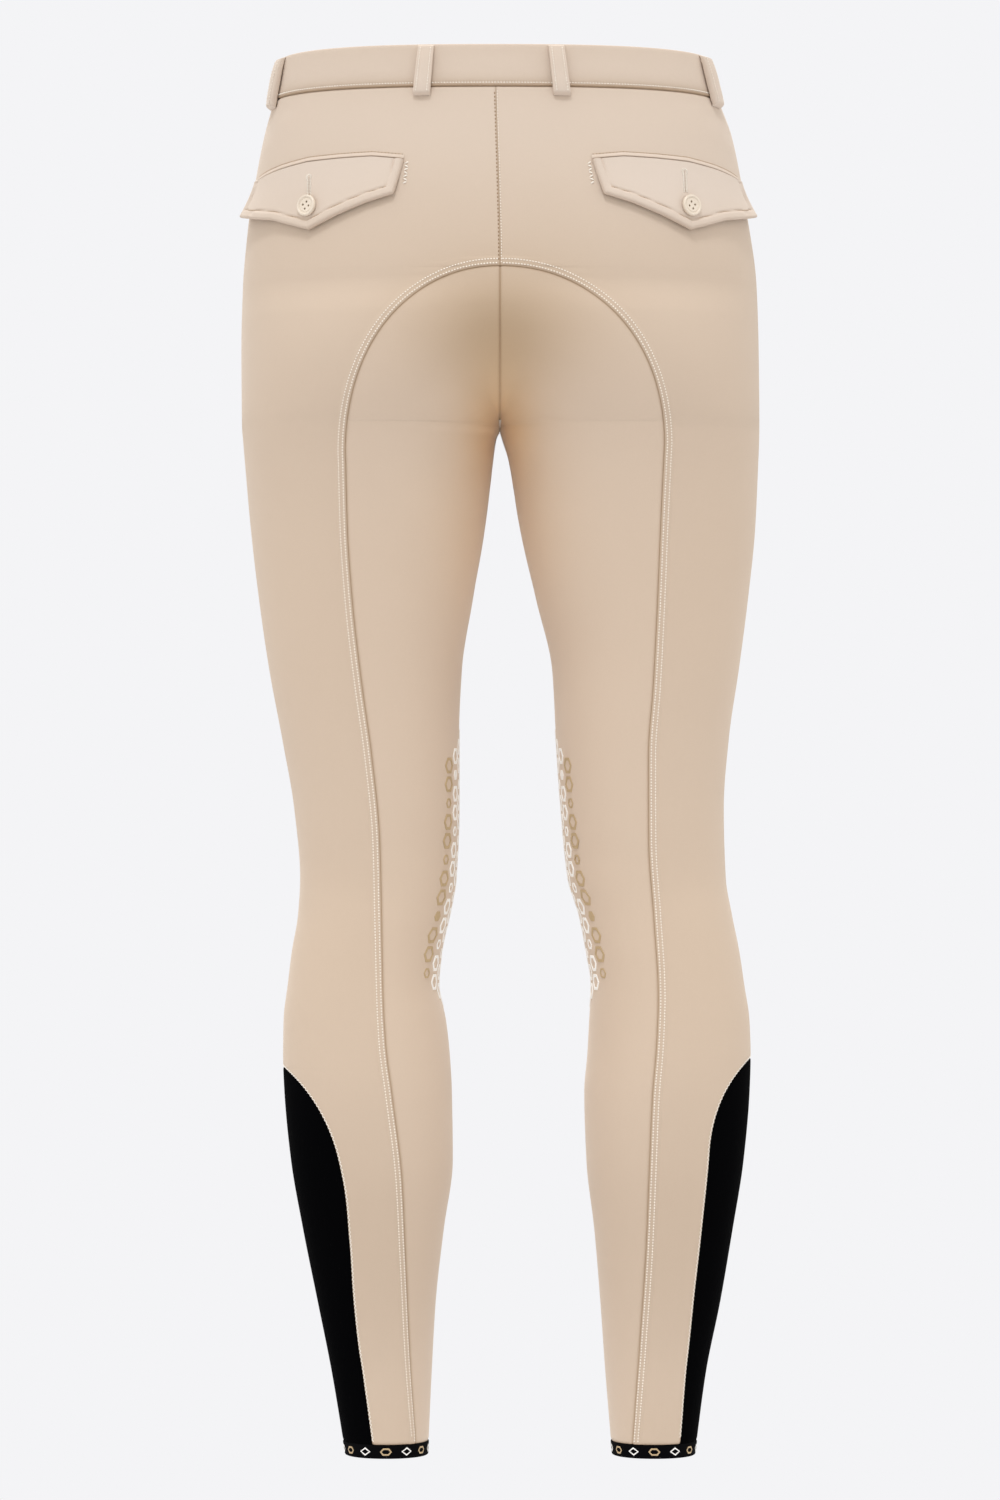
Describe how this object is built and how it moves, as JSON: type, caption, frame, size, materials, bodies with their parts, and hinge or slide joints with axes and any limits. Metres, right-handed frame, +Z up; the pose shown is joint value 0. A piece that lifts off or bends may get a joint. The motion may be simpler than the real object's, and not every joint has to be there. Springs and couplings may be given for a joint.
{
  "type": "full-seat riding breeches",
  "caption": "Hollow worn form of full-seat riding breeches: lapped waistband, belt loops, two pointed buttoned back flaps, stretch ankle panels and hem bands.",
  "frame": {"origin": "middle of the waist opening, level with the waistband's top edge at the centre back", "axes": "+Z up towards the waist, -Y towards the front, +X towards the wearer's left leg"},
  "size_m": [0.3713, 0.2598, 1],
  "materials": {
    "cloth": "matte light beige stretch twill",
    "seat_cloth": "matte beige suede-like cloth",
    "stretch": "smooth black stretch jersey",
    "band": "black elastic band with a pale woven figure",
    "button": "cream satin plastic"
  },
  "bodies": {
    "root": {"waistband": "cloth", "fly_lap": "cloth", "front_left": "cloth", "front_right": "cloth", "back_left": "cloth", "back_right": "cloth", "seat_left": "seat_cloth", "seat_right": "seat_cloth", "ankle_left": "stretch", "ankle_right": "stretch", "hem_left": "band", "hem_right": "band", "flap_left": "cloth", "flap_right": "cloth", "welt_left": "cloth", "welt_right": "cloth", "button_left": "button", "button_right": "button", "loop_back_left": "cloth", "loop_back_right": "cloth", "loop_side_left": "cloth", "loop_side_right": "cloth", "loop_front_left": "cloth", "loop_front_right": "cloth"}
  },
  "joints": []
}
